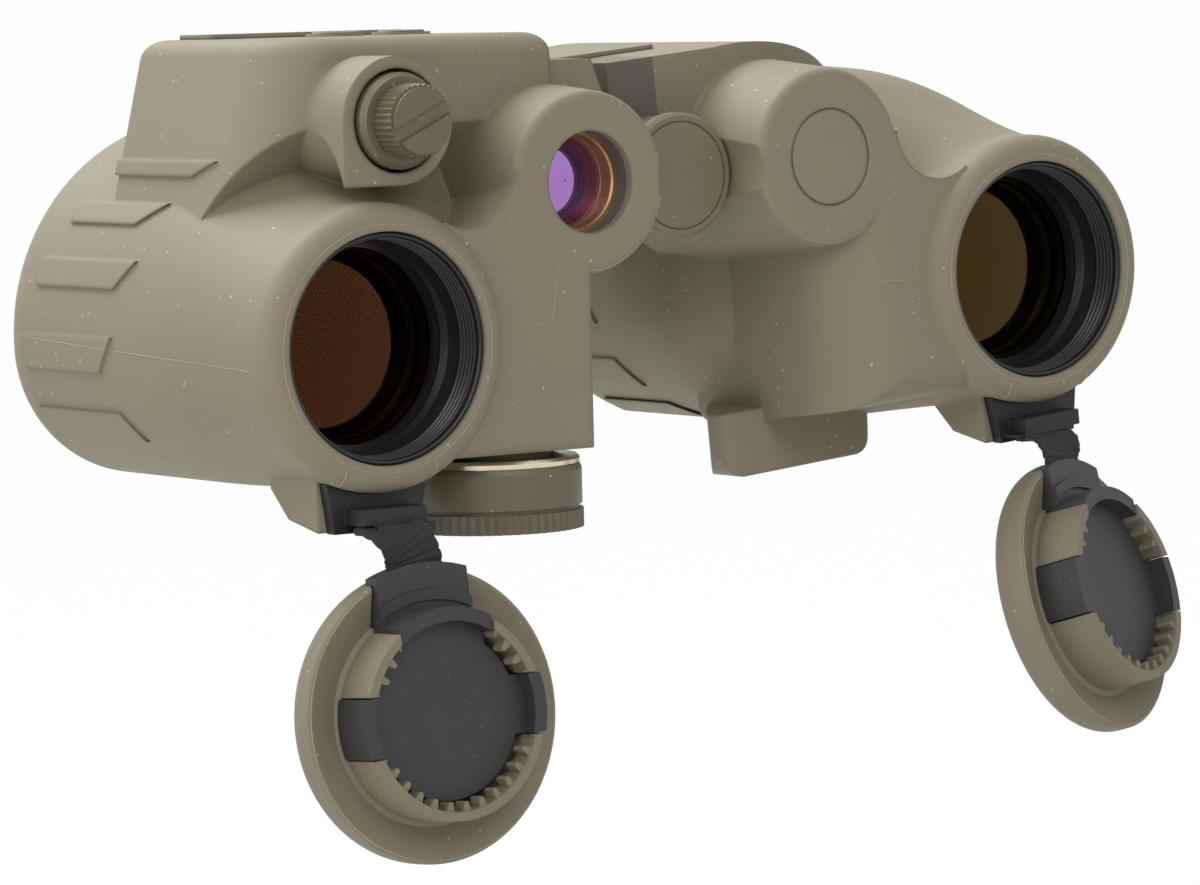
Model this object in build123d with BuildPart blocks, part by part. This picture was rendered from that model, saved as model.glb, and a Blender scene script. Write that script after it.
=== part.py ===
from build123d import *
import os
from math import cos, radians, sin

os.makedirs("parts", exist_ok=True)

# Porro-prism binoculars with a laser rangefinder, in millimetres.
# The origin is the mouth of the tripod socket, +Z is up, and the objectives face -Y.
# Each half is drawn in its own hinge coordinates: u runs outward from the hinge axis,
# w runs up from it, and depth y runs back from the plane of the objective rims.

# Frame
HINGE_X = -33.8
HINGE_Z = 63.2
RIM_Y = -38.0
FOLD = 5.2  # opening of the right half about the hinge, degrees
LEFT, RIGHT = 1, -1
BACK = (0, 1, 0)
FAR = 200.0  # larger than the object, for cutting planes

# Objective rim and prism housing
OBJECTIVE_U = 76.6
OBJECTIVE_W = -28.7
RIM_R = 26.8
RIM_ROUNDING = 4.0
SKIN = 2.4  # thickness of the rubber armour
WALL = 2.6  # thickness of the cast chassis
HOUSING_FRONT = 46.0
HOUSING_REAR = 98.4
REAR_ROUNDING = 12.0
REAR_CHAMFER = 7.0
# Corners of the housing outline and their radii: outer lower, outer upper, inner upper, inner lower
HOUSING_CORNERS = [(104.8, -56.0), (104.8, 6.0), (17.5, 22.5), (17.5, -56.5)]
HOUSING_RADII = [26.5, 42.0, 14.0, 26.0]
CORNER_SIGNS = [(1, -1), (1, 1), (-1, 1), (-1, -1)]
# Depth, and how far the section has grown from the rim circle to the housing outline
SHOULDER = [(4, 0.0), (14, 0.1), (24, 0.36), (34, 0.73), (40, 0.9), (46, 0.985), (52, 1.0)]
CORE_FRONT = 44.0

# Front block: rangefinder tube, and the web between it and the objective
TUBE_U = 28.6
TUBE_R = 17.2
TUBE_FRONT = 2.5
TUBE_EDGE = 1.8
DRAFT = 0.09  # growth of the front block with depth
WEB_IN = 28.5
WEB_BOTTOM = -50.2
WEB_CORNER = 3.6
# Rounding of the web's inner and lower front edges
WEB_ROUNDS = {LEFT: (15.0, 6.0), RIGHT: (2.0, 2.0)}
VALLEY_U, VALLEY_W, VALLEY_R = 56.2, 3.0, 10.7
WINDOW_R, WINDOW_REAR = 9.7, 8.0
BLANK_R = 9.6
BLANK_GROOVE = 0.5

# Objective cell and lenses
CELL_R = 21.5
CELL_FRONT = 0.8
CELL_REAR = 30.0
LENS_R = 19.5
LENS_FRONT, LENS_JOIN, LENS_REAR = 14.6, 20.0, 23.0
FIT = 0.05  # clearance of pieces that slip into each other

# Prisms on their plate
PLATE_FRONT, PLATE_REAR = 64.5, 66.0
ROOM_FRONT = 45.6
SEAT = 3.5  # ledge that carries the prism plate
COVER_FRONT = 93.5
PRISM_WIDTH = 18.8
PRISM_A_SHIFT, PRISM_A_ANGLE = 40.4, 189.0
PRISM_B_SHIFT, PRISM_B_ANGLE = 23.3, 99.0
PRISM_A_DEPTH, PRISM_B_DEPTH = 26.0, 18.6
CLAMP_WIDTH, CLAMP_THICK = 8.0, 0.8

# Eyepieces
EYE_U, EYE_W = 33.0, -12.0
EYE_FLANGE_R = 17.0
EYE_BOSS_FRONT = 78.0
EYE_BOSS_ROUNDING = 1.6
EYE_TUBE_R = 14.5
EYE_BORE_R = 13.0
FOCUS_R, FOCUS_TEETH = 18.5, 48
OCULAR_BORE_R = 10.6

# Hinge
HINGE_R = 11.5
HINGE_GAP_R = 12.6
PIN_R = 4.0
FRONT_KNUCKLE = (15.5, 23.5)
MIDDLE_KNUCKLE = (24.0, 50.0)
REAR_KNUCKLE = (50.5, 70.0)
DISC_R = 12.15
DISC_FRONT, DISC_REAR = 12.8, 15.2
DECK_W = 22.6
DECK_IN = 1.5
DECK_END = -7.2
DECK_FRONT, DECK_REAR = 24.0, 72.0
DECK_OUT, DECK_SWEEP = 66.0, 38.0
PLATE_RISE = 0.9

# Electronics box on the right half
BOX_W = 28.4
BOX_IN, BOX_OUT, BOX_OUT_LOW = 27.3, 87.6, 97.6
BOX_FRONT, BOX_REAR = 17.0, 66.0
BOX_CORNER, BOX_EDGE = 13.0, 4.0
# Undercut of the box in side view, as (depth, height): start, middle, end
BOX_SCOOP = [(17.0, 12.0), (35.8, -7.8), (52.0, -30.0)]
LEDGE_W = 23.0
PORT_U, PORT_W, PORT_FRONT = 70.0, 12.9, 5.0
HOOD_R, HOOD_CORNER_DEPTH = 12.0, 9.5
PORT_RECESS_R, PORT_RECESS_REAR = 9.7, 11.0
PORT_SHAFT_R = 6.0
KNOB_R, KNOB_FRONT, KNOB_TEETH = 6.9, -3.5, 36
COIN_SLOT, COIN_DEPTH, COIN_TURN = 2.9, 0.7, -25.0
BATTERY_U, BATTERY_Y = 41.0, 20.0
BATTERY_R, BATTERY_TOP, BATTERY_BOTTOM = 8.4, -18.6, -53.0
COLLAR_TOP, COLLAR_R = -51.8, 16.9
BATTERY_CAP_R, BATTERY_CAP_TOP, BATTERY_CAP_BOTTOM = 17.2, -53.4, -65.6
COLLAR_HEIGHT = 1.4
CAP_KNURL_TEETH = 60
BUTTON_Y = 42.0
BUTTON_US = (44.5, 59.5)
BUTTON_LENGTH, BUTTON_WIDTH, BUTTON_RISE = 12.0, 8.0, 0.5
BUTTON_STEP = 0.4
BAY_IN, BAY_OUT, BAY_FRONT, BAY_BACK = 32.0, 82.0, 32.0, 62.0
BAY_FLOOR, BAY_ROOF = 17.0, 23.8

# Tripod foot on the left half
FOOT_BOTTOM = -HINGE_Z
FOOT_FRONT, FOOT_REAR = 29.0, 47.0
SOCKET_U, SOCKET_Y = 33.8, 38.0
SOCKET_R, SOCKET_DEPTH = 3.2, 9.0
BUSH_R = 5.5

# Lens caps: the strap bends about a line just below the clip
PIVOT_Y = -3.05
CAP_FACE = 0.9  # inner face of the flange in front of the bend
CAP_R = 27.4
CAP_BACK = 8.5
CAP_ROUNDING = 5.5
PLUG_R = 19.3
STRAP_WIDTH = 12.5
STRAP_THICK = 1.6
STRAP_LENGTH = 5.5
CAP_TEETH = 30
ARM_WIDTH = 20.0
# Forward swing, twist and sideways lean of each hanging cap in degrees, and the height of its bend
CAP_REST = {LEFT: (17.4, 21.8, 4.3, -61.55), RIGHT: (5.0, 0.0, 2.7, -62.55)}
CLIP_WIDTH, CLIP_FRONT, CLIP_REAR, CLIP_BOTTOM = 23.0, 5.5, 8.0, -62.7

# Grip ribs, as (front at the top, front at the bottom, rear, top, bottom) in side view
RIB_RISE = 0.6
BOX_RIBS = [(31, 39, 69, 6.0, 3.0), (45, 53, 77, -2.0, -6.0)]
OUTER_RIBS = [(47, 53, 82, -12.6, -18.0), (52, 57, 85, -27.0, -34.0), (54, 50, 85, -41.6, -47.0)]
INNER_RIBS = [(76, 71, 85, -26.5, -33.5), (69, 64, 85, -41.0, -47.0), (62, 56, 85, -51.0, -54.5)]

# Middles of the two prisms across the optical axis
turn_a, turn_b = radians(PRISM_A_ANGLE), radians(PRISM_B_ANGLE)
a_u = OBJECTIVE_U + PRISM_A_SHIFT / 2 * cos(turn_a)
a_w = OBJECTIVE_W + PRISM_A_SHIFT / 2 * sin(turn_a)
b_u = EYE_U - PRISM_B_SHIFT / 2 * cos(turn_b)
b_w = EYE_W - PRISM_B_SHIFT / 2 * sin(turn_b)


def half_axes(side):
    """Unit vectors of u and w for one half."""
    if side == LEFT:
        return Vector(1, 0, 0), Vector(0, 0, 1)
    fold = radians(FOLD)
    return Vector(-cos(fold), 0, sin(fold)), Vector(sin(fold), 0, cos(fold))


def spot(side, u, y, w):
    """Point of one half in the common frame."""
    out, up = half_axes(side)
    return Vector(HINGE_X, RIM_Y + y, HINGE_Z) + out * u + up * w


def cross_plane(side, y, u=0.0, w=0.0, turn=0.0):
    """Plane across the optical axis, local x = u and local y = w, or turned from them."""
    out, up = half_axes(side)
    along = out * cos(radians(turn)) + up * sin(radians(turn))
    return Plane(origin=spot(side, u, y, w), x_dir=along, z_dir=out.cross(up))


def axial_plane(side, u, w, turn=0.0):
    """Plane through a line along the optical axis, local x = radius and local y = depth."""
    out, up = half_axes(side)
    along = out * cos(radians(turn)) + up * sin(radians(turn))
    return Plane(origin=spot(side, u, 0, w), x_dir=along, z_dir=along.cross(Vector(BACK)))


def upright_plane(side, u, y):
    """Plane through an upright line, local x = u and local y = w."""
    out, up = half_axes(side)
    return Plane(origin=spot(side, u, y, 0), x_dir=out, z_dir=out.cross(up))


def side_plane(side, u):
    """Plane seen from the side of a half, local x = depth and local y = w."""
    up = half_axes(side)[1]
    return Plane(origin=spot(side, u, 0, 0), x_dir=BACK, z_dir=Vector(BACK).cross(up))


def level_plane(side, u, y, w):
    """Plane square to w for what stands on top or underneath, local y = depth on both halves."""
    out, up = half_axes(side)
    return Plane(origin=spot(side, u, y, w), x_dir=Vector(BACK).cross(up), z_dir=up)


def outline(plane, points):
    """Face inside straight edges."""
    with BuildSketch(plane) as sketch:
        with BuildLine():
            Polyline(*points, close=True)
        make_face()
    return sketch.sketch


def rounded(plane, corners, radii):
    """Face inside straight edges with a radius at each corner."""
    with BuildSketch(plane) as sketch:
        with BuildLine():
            FilletPolyline(*corners, radius=radii, close=True)
        make_face()
    return sketch.sketch


def disc(plane, radius):
    """Round face."""
    with BuildSketch(plane) as sketch:
        Circle(radius)
    return sketch.sketch


def oval(plane, length, width):
    """Round-ended face along local x."""
    with BuildSketch(plane) as sketch:
        SlotOverall(length, width)
    return sketch.sketch


def knurl(plane, radius, depth, teeth):
    """Round face with straight teeth."""
    step = 180 / teeth
    ring = [(radius - depth * (k % 2), k * step) for k in range(2 * teeth)]
    return outline(plane, [(r * cos(radians(a)), r * sin(radians(a))) for r, a in ring])


def turned(plane, points, mode=Mode.ADD):
    """Turned form about the plane's local y, from (radius, height) points."""
    revolve(outline(plane, points), axis=Axis(plane.origin, plane.y_dir), mode=mode)


def rod(side, u, w, radius, start, end, mode=Mode.ADD):
    """Round rod, or hole, along the optical axis between two depths."""
    extrude(disc(cross_plane(side, start, u, w), radius), amount=end - start, dir=BACK, mode=mode)


def upright_rod(side, u, y, radius, bottom, top, mode=Mode.ADD):
    """Round rod, or hole, along w between two heights."""
    up = half_axes(side)[1]
    extrude(disc(level_plane(side, u, y, bottom), radius), amount=top - bottom, dir=up, mode=mode)


def lens(side, u, w, radius, front, rear, front_bulge, rear_bulge):
    """Lens with a flat edge and two spherical faces."""
    plane = axial_plane(side, u, w)
    with BuildSketch(plane) as sketch:
        with BuildLine():
            if front_bulge:
                SagittaArc((-radius, front), (radius, front), -front_bulge)
            else:
                Line((-radius, front), (radius, front))
            Line((radius, front), (radius, rear))
            if rear_bulge:
                SagittaArc((radius, rear), (-radius, rear), -rear_bulge)
            else:
                Line((radius, rear), (-radius, rear))
            Line((-radius, rear), (-radius, front))
        make_face()
        split(bisect_by=Plane.YZ, keep=Keep.TOP)
    revolve(sketch.sketch, axis=Axis(plane.origin, BACK))


def section(side, y, grow, pull):
    """Section of a half: the rim circle at grow 0, the housing outline at grow 1."""
    reach = RIM_R - 0.3
    corners = []
    radii = []
    for (sign_u, sign_w), (u, w), radius in zip(CORNER_SIGNS, HOUSING_CORNERS, HOUSING_RADII):
        rim_u = OBJECTIVE_U + sign_u * reach
        rim_w = OBJECTIVE_W + sign_w * reach
        corner_u = rim_u + (u - rim_u) * grow - sign_u * pull
        corner_w = rim_w + (w - rim_w) * grow - sign_w * pull
        corners.append((corner_u, corner_w))
        radii.append(reach - 0.1 + (radius - reach + 0.1) * grow - pull)
    return rounded(cross_plane(side, y), corners, radii)


def shoulder(side, pull):
    """Form that swells from the objective rim to the housing."""
    loft([section(side, y, grow, pull) for y, grow in SHOULDER])
    start = SHOULDER[-1][0]
    extrude(section(side, start, 1.0, pull), amount=HOUSING_REAR - pull - start, dir=BACK)


def web(side, pull):
    """Web between the tube and the rim: its front view, cut to the rounded plan and side views."""
    out, up = half_axes(side)
    front, rear = TUBE_FRONT + pull, HOUSING_FRONT + 2
    inner_round, bottom_round = (max(size - pull, 0.5) for size in WEB_ROUNDS[side])
    inner, bottom = WEB_IN + pull, WEB_BOTTOM + pull
    grown = DRAFT * (rear - front)
    with BuildSketch(cross_plane(side, front)) as sketch:
        with BuildLine():
            valley = CenterArc((VALLEY_U, VALLEY_W), VALLEY_R + pull, 180, 123)
            FilletPolyline(
                valley @ 1, (OBJECTIVE_U, OBJECTIVE_W), (OBJECTIVE_U, bottom - grown),
                (inner - grown, bottom - grown), (inner - grown, -4), (TUBE_U, 0), valley @ 0,
                radius=[0, 0, WEB_CORNER, 0, 0],
            )
        make_face()
    plan = rounded(level_plane(side, 0, 0, -FAR / 2), [
        (side * inner, front), (side * FAR, front), (side * FAR, rear), (side * (inner - grown), rear),
    ], [inner_round, 0, 0, 0])
    profile = rounded(side_plane(side, 0), [
        (front, bottom), (front, FAR), (rear, FAR), (rear, bottom - grown),
    ], [bottom_round, 0, 0, 0])
    form = extrude(sketch.sketch, amount=rear - front, dir=BACK, mode=Mode.PRIVATE)
    form = form & extrude(plan, amount=FAR, dir=up, mode=Mode.PRIVATE)
    add(form & extrude(profile, amount=FAR, dir=out, mode=Mode.PRIVATE))


def front_tube(side, pull):
    """Rangefinder tube, growing with depth."""
    front, rear = TUBE_FRONT + pull, HOUSING_FRONT + 2
    rear_r = TUBE_R + DRAFT * (rear - TUBE_FRONT) - pull
    plane = axial_plane(side, TUBE_U, 0)
    corners = [(0, front), (TUBE_R - pull, front), (rear_r, rear), (0, rear)]
    profile = rounded(plane, corners, [0, max(TUBE_EDGE - pull, 0.2), 0, 0])
    revolve(profile, axis=Axis(plane.origin, BACK))


def deck(pull):
    """Bridge beside the hinge on the left half, whose front sweeps back into the shoulder."""
    front, rear = DECK_FRONT + pull, DECK_REAR + 12 - pull
    top, inner = DECK_W - pull, DECK_IN + pull
    with BuildSketch(cross_plane(LEFT, front)) as sketch:
        with BuildLine():
            crown = ThreePointArc((19, top), (46, top - 4.5), (DECK_OUT, 2 - pull))
            Polyline(crown @ 0, (inner, top), (inner, -6), (DECK_OUT, -6), crown @ 1)
        make_face()
    plan = rounded(level_plane(LEFT, 0, 0, -FAR / 2), [
        (inner, front), (DECK_OUT, front), (DECK_OUT, rear), (inner, rear),
    ], [0, DECK_SWEEP, 0, 0])
    form = extrude(sketch.sketch, amount=rear - front, dir=BACK, mode=Mode.PRIVATE)
    add(form & extrude(plan, amount=FAR, dir=(0, 0, 1), mode=Mode.PRIVATE))


def ledge(pull):
    """Low step between the electronics box and the hinge."""
    inner, top = 13.5 + pull, LEDGE_W - pull
    front = BOX_FRONT + 1 + pull
    shape = [(inner, 0), (inner, 14), (inner + 3.5, top), (42, top), (42, 0)]
    extrude(outline(cross_plane(RIGHT, front), shape), amount=BOX_REAR + 6 - pull - front, dir=BACK)


def box_face(pull):
    """Front face of the electronics box, whose outer side runs down into the housing."""
    inner, top = BOX_IN + pull, BOX_W - pull
    outer, low_outer = BOX_OUT - pull, BOX_OUT_LOW - pull
    shape = [(inner, 0), (inner, top), (outer, top), (low_outer, -12), (low_outer, -30), (80, -30)]
    return outline(cross_plane(RIGHT, BOX_FRONT + pull), shape)


def box_side(pull):
    """Side view of the electronics box with the hollow under its front."""
    start, middle, end = ((y + 0.74 * pull, w + 0.68 * pull) for y, w in BOX_SCOOP)
    with BuildSketch(side_plane(RIGHT, 0)) as sketch:
        with BuildLine():
            hollow = ThreePointArc(start, middle, end)
            Polyline(hollow @ 1, (FAR, end[1]), (FAR, FAR), (start[0], FAR), hollow @ 0)
        make_face()
    return sketch.sketch


def hood(pull):
    """Hood round the screw port, with a hollowed wedge for its lower outer corner."""
    out = half_axes(RIGHT)[0]
    front = PORT_FRONT + pull
    reach = HOOD_R - pull
    extrude(disc(cross_plane(RIGHT, front, PORT_U, PORT_W), reach), amount=30 - front, dir=BACK)
    plane = cross_plane(RIGHT, front, PORT_U, PORT_W)
    corner = outline(plane, [(0, 0), (0, -reach), (reach, -reach), (reach, 0)])
    block = extrude(corner, amount=HOOD_CORNER_DEPTH, dir=BACK, mode=Mode.PRIVATE)
    top, low = PORT_W - 2, PORT_W - reach
    rear = front + HOOD_CORNER_DEPTH - pull
    with BuildSketch(side_plane(RIGHT, 0)) as sketch:
        with BuildLine():
            hollow = ThreePointArc((rear, top), (front + 3.6, PORT_W - 6.3), (front + 0.4, low))
            Polyline(hollow @ 1, (front, low), (front, PORT_W), (rear, PORT_W), hollow @ 0)
        make_face()
    add(block & extrude(sketch.sketch, amount=FAR, dir=out, mode=Mode.PRIVATE))


def knuckle(side, span):
    """Hinge barrel with its arm to the chassis."""
    start, end = span
    rod(side, 0, 0, HINGE_R, start, end)
    arm = [(0, -8), (0, 4), (27, 4), (27, -8)]
    extrude(outline(cross_plane(side, start), arm), amount=end - start, dir=BACK)


def hinge_room(side):
    """Room for the other half's knuckles and the end discs."""
    others = [(0.0, FRONT_KNUCKLE[0] - 0.3), (REAR_KNUCKLE[1] + 0.3, FAR)]
    if side == LEFT:
        others += [(0.0, MIDDLE_KNUCKLE[0]), (MIDDLE_KNUCKLE[1], FAR)]
    else:
        others += [(FRONT_KNUCKLE[1], REAR_KNUCKLE[0])]
    for start, end in others:
        rod(side, 0, 0, HINGE_GAP_R, start, end, mode=Mode.SUBTRACT)


def cap_drop(side):
    """Distance from a strap's bend to the middle of its cap."""
    lean, bend_w = CAP_REST[side][2:]
    return (OBJECTIVE_W - bend_w) / cos(radians(lean))


def strap_plane(side):
    """Plane through a strap's bend as it hangs: local y up the strap, local z forward."""
    out, up = half_axes(side)
    swing, twist, lean, bend_w = CAP_REST[side]
    across, rise = sin(radians(lean)), cos(radians(lean))
    bend = spot(side, OBJECTIVE_U - cap_drop(side) * across, PIVOT_Y, bend_w)
    swing_axis = Axis(bend, (out * rise - up * across) * -side)
    along = (up * rise + out * across).rotate(swing_axis, swing)
    forward = Vector(0, -1, 0).rotate(swing_axis, swing).rotate(Axis(bend, along), twist)
    return Plane(origin=bend, x_dir=along.cross(forward), z_dir=forward)


def cap_plane(side, height, turn=0.0):
    """Plane across a cap's axis, a height in front of its flange face."""
    strap = strap_plane(side)
    centre = strap.origin - strap.y_dir * cap_drop(side) + strap.z_dir * (CAP_FACE + height)
    along = strap.x_dir * cos(radians(turn)) + strap.y_dir * sin(radians(turn))
    return Plane(origin=centre, x_dir=along, z_dir=strap.z_dir)


def cap_axis_plane(side):
    """Plane through a cap's axis, local x = radius and local y = height in front of the flange."""
    face = cap_plane(side, 0.0)
    return Plane(origin=face.origin, x_dir=face.x_dir, z_dir=face.x_dir.cross(face.z_dir))


def cap_segment(side, turn, width, inner, outer, bottom, top, mode=Mode.ADD):
    """Curved piece of a cap's wall with straight ends, centred on an angle."""
    plane = cap_plane(side, bottom, turn)
    with BuildSketch(plane) as sketch:
        Circle(outer)
        Circle(inner, mode=Mode.SUBTRACT)
        with Locations((outer, 0)):
            Rectangle(2 * outer, width, mode=Mode.INTERSECT)
    extrude(sketch.sketch, amount=top - bottom, dir=plane.z_dir, mode=mode)


def save(piece, name):
    """Label a finished piece and write it."""
    piece.part.label = name
    export_step(piece.part, f"parts/{name}.step")


for side, name in ((LEFT, "left"), (RIGHT, "right")):
    out, up = half_axes(side)
    objective = axial_plane(side, OBJECTIVE_U, OBJECTIVE_W)
    eyepiece = axial_plane(side, EYE_U, EYE_W)

    # Electronics box with its soft edges: over the ribs, over the rubber, over the casting
    boxes = []
    for pull in (-RIB_RISE, 0.0, SKIN):
        with BuildPart() as box:
            extrude(box_face(pull), amount=BOX_REAR - BOX_FRONT - 2 * pull, dir=BACK)
            front_edges = box.edges().group_by(Axis.Y)[0]
            fillet(front_edges.sort_by_distance(spot(RIGHT, 92, BOX_FRONT, 12))[0], BOX_CORNER - pull)
            top_face = box.faces().sort_by_distance(spot(RIGHT, 57, 40, BOX_W))[0]
            fillet(top_face.edges(), BOX_EDGE - pull)
            extrude(box_side(pull), amount=FAR, dir=half_axes(RIGHT)[0], mode=Mode.INTERSECT)
        boxes.append(box.part)

    # Raised grip ribs: bars of a slightly larger form, on the outer side and then the inner side
    outer_ribs = OUTER_RIBS if side == LEFT else BOX_RIBS + OUTER_RIBS
    ribs = []
    for bars, reach in ((outer_ribs, out), (INNER_RIBS, -out)):
        with BuildPart() as rib_form:
            shoulder(side, -RIB_RISE)
            if side == RIGHT:
                add(boxes[0])
            bar_faces = Sketch()
            for top_front, low_front, rib_rear, high, low in bars:
                bar = [(top_front, high), (rib_rear, high), (rib_rear, low), (low_front, low)]
                bar_faces += outline(side_plane(side, (OBJECTIVE_U + EYE_U) / 2), bar)
            extrude(bar_faces, amount=FAR, dir=reach, mode=Mode.INTERSECT)
        ribs.append(rib_form.part)

    # Foot of the left half, tapered in front view
    with BuildPart() as foot:
        front_view = [(12.5, WEB_BOTTOM), (17.5, FOOT_BOTTOM), (51.5, FOOT_BOTTOM), (54, WEB_BOTTOM)]
        sketch = rounded(cross_plane(LEFT, FOOT_FRONT), front_view, [0, 4, 4, 0])
        extrude(sketch, amount=FOOT_REAR - FOOT_FRONT, dir=BACK)
        plan_view = [(12.0, FOOT_FRONT), (54, FOOT_FRONT), (54, FOOT_REAR), (26, FOOT_REAR)]
        sketch = rounded(level_plane(LEFT, 0, 0, FOOT_BOTTOM), plan_view, [3.5, 3.5, 3.5, 3.5])
        extrude(sketch, amount=WEB_BOTTOM - FOOT_BOTTOM, mode=Mode.INTERSECT)

    # Cast form under the rubber, still solid
    with BuildPart() as core:
        rear = HOUSING_REAR - SKIN
        extrude(section(side, CORE_FRONT, 1.0, SKIN), amount=rear - CORE_FRONT, dir=BACK)
        chamfer(core.edges().group_by(Axis.Y)[-1], REAR_CHAMFER)
        rod(side, OBJECTIVE_U, OBJECTIVE_W, RIM_R - SKIN, SKIN, HOUSING_FRONT)
        web(side, SKIN)
        front_tube(side, SKIN)
        if side == LEFT:
            deck(SKIN)
            exposed = [(DECK_END, 0), (DECK_END, DECK_W), (DECK_IN + SKIN, DECK_W), (DECK_IN + SKIN, 0)]
            plane = cross_plane(LEFT, DECK_FRONT)
            extrude(outline(plane, exposed), amount=DECK_REAR - DECK_FRONT, dir=BACK)
        else:
            ledge(SKIN)
            add(boxes[2])
            hood(SKIN)
        rod(side, EYE_U, EYE_W, EYE_FLANGE_R, EYE_BOSS_FRONT, HOUSING_REAR - SKIN)
        hinge_room(side)
        if side == LEFT:
            knuckle(side, MIDDLE_KNUCKLE)
            upright_rod(side, SOCKET_U, SOCKET_Y, BUSH_R + 2, FOOT_BOTTOM + SKIN, WEB_BOTTOM)
        else:
            knuckle(side, FRONT_KNUCKLE)
            knuckle(side, REAR_KNUCKLE)
            upright_rod(side, BATTERY_U, BATTERY_Y, BATTERY_R + 3, COLLAR_TOP, WEB_BOTTOM + WEB_CORNER)

    # Collar of the armour round the eyepiece
    with BuildPart() as eye_boss:
        rod(side, EYE_U, EYE_W, EYE_FLANGE_R + SKIN, EYE_BOSS_FRONT, HOUSING_REAR)
        fillet(eye_boss.edges().group_by(Axis.Y)[-1], EYE_BOSS_ROUNDING)

    # Rubber armour
    with BuildPart() as armour:
        shoulder(side, 0.0)
        fillet(armour.edges().group_by(Axis.Y)[-1], REAR_ROUNDING)
        rod(side, OBJECTIVE_U, OBJECTIVE_W, RIM_R, 0, 10)
        fillet(armour.edges().group_by(Axis.Y)[0], RIM_ROUNDING)
        web(side, 0.0)
        front_tube(side, 0.0)
        add(eye_boss.part)
        add(ribs)
        if side == LEFT:
            deck(0.0)
            add(foot.part)
        else:
            ledge(0.0)
            add(boxes[1])
            hood(0.0)
        clip_foot = [(CLIP_REAR, -50), (CLIP_REAR, -62.5), (18, -60.5), (24, -55), (24, -50)]
        plane = side_plane(side, OBJECTIVE_U - CLIP_WIDTH / 2)
        extrude(outline(plane, clip_foot), amount=CLIP_WIDTH, dir=out)
        hinge_room(side)
        add(core.part, mode=Mode.SUBTRACT)
        rod(side, OBJECTIVE_U, OBJECTIVE_W, CELL_R + 0.1, -1, 20, mode=Mode.SUBTRACT)
        rod(side, EYE_U, EYE_W, EYE_FLANGE_R + 0.2, 90, FAR, mode=Mode.SUBTRACT)
        if side == LEFT:
            groove = [(BLANK_R - BLANK_GROOVE, 0), (BLANK_R, 0), (BLANK_R, 3), (BLANK_R - BLANK_GROOVE, 3)]
            turned(axial_plane(side, TUBE_U, 0), groove, mode=Mode.SUBTRACT)
            upright_rod(side, SOCKET_U, SOCKET_Y, BUSH_R, FOOT_BOTTOM, WEB_BOTTOM, mode=Mode.SUBTRACT)
        else:
            rod(side, TUBE_U, 0, WINDOW_R, 0, 10, mode=Mode.SUBTRACT)
            rod(side, PORT_U, PORT_W, PORT_RECESS_R, 0, PORT_RECESS_REAR, mode=Mode.SUBTRACT)
            cap_room = BATTERY_CAP_R + 0.5
            upright_rod(side, BATTERY_U, BATTERY_Y, cap_room, -FAR, COLLAR_TOP, mode=Mode.SUBTRACT)
            for u in BUTTON_US:
                plane = level_plane(side, u, BUTTON_Y, BAY_ROOF)
                mouth = oval(plane, BUTTON_LENGTH + 0.6, BUTTON_WIDTH + 0.6)
                extrude(mouth, amount=10, dir=up, mode=Mode.SUBTRACT)
    save(armour, f"{name}_armour")

    # Cast chassis: the solid form with its bores, prism room and bays
    with BuildPart() as chassis:
        add(core.part)
        extrude(section(side, PLATE_FRONT, 1.0, SKIN + WALL), amount=FAR, dir=BACK, mode=Mode.SUBTRACT)
        depth = PLATE_FRONT - ROOM_FRONT
        inner = section(side, ROOM_FRONT, 1.0, SKIN + WALL + SEAT)
        extrude(inner, amount=depth, dir=BACK, mode=Mode.SUBTRACT)
        with BuildSketch(cross_plane(side, ROOM_FRONT, b_u, b_w, PRISM_B_ANGLE)) as pocket:
            Rectangle(PRISM_B_SHIFT + PRISM_WIDTH + 0.4, PRISM_WIDTH + 0.4)
        extrude(pocket.sketch, amount=depth, dir=BACK, mode=Mode.SUBTRACT)
        rod(side, EYE_U, EYE_W, EYE_TUBE_R + FIT, 90, FAR, mode=Mode.SUBTRACT)
        rod(side, OBJECTIVE_U, OBJECTIVE_W, CELL_R + FIT, 0, CELL_REAR, mode=Mode.SUBTRACT)
        rod(side, OBJECTIVE_U, OBJECTIVE_W, LENS_R, CELL_REAR, ROOM_FRONT + 1, mode=Mode.SUBTRACT)
        cover_cut = disc(cross_plane(side, COVER_FRONT), FAR)
        extrude(cover_cut, amount=FAR, dir=BACK, mode=Mode.SUBTRACT)
        rod(side, 0, 0, PIN_R if side == LEFT else PIN_R + FIT, 0, FAR, mode=Mode.SUBTRACT)
        if side == LEFT:
            socket_top = FOOT_BOTTOM + SOCKET_DEPTH + 1
            upright_rod(side, SOCKET_U, SOCKET_Y, BUSH_R, FOOT_BOTTOM, socket_top, mode=Mode.SUBTRACT)
        else:
            rod(side, TUBE_U, 0, WINDOW_R, 0, WINDOW_REAR, mode=Mode.SUBTRACT)
            rod(side, TUBE_U, 0, TUBE_R - SKIN - WALL, WINDOW_REAR, HOUSING_FRONT, mode=Mode.SUBTRACT)
            rod(side, PORT_U, PORT_W, PORT_RECESS_R, 0, PORT_RECESS_REAR, mode=Mode.SUBTRACT)
            rod(side, PORT_U, PORT_W, PORT_SHAFT_R + FIT, 0, 25, mode=Mode.SUBTRACT)
            cell_room, cell_top = BATTERY_R + 0.2, BATTERY_TOP + 1.1
            upright_rod(side, BATTERY_U, BATTERY_Y, cell_room, COLLAR_TOP, cell_top, mode=Mode.SUBTRACT)
            bay = [(-BAY_OUT, BAY_FRONT), (-BAY_IN, BAY_FRONT), (-BAY_IN, BAY_BACK), (-BAY_OUT, BAY_BACK)]
            plane = level_plane(side, 0, 0, BAY_FLOOR)
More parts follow.
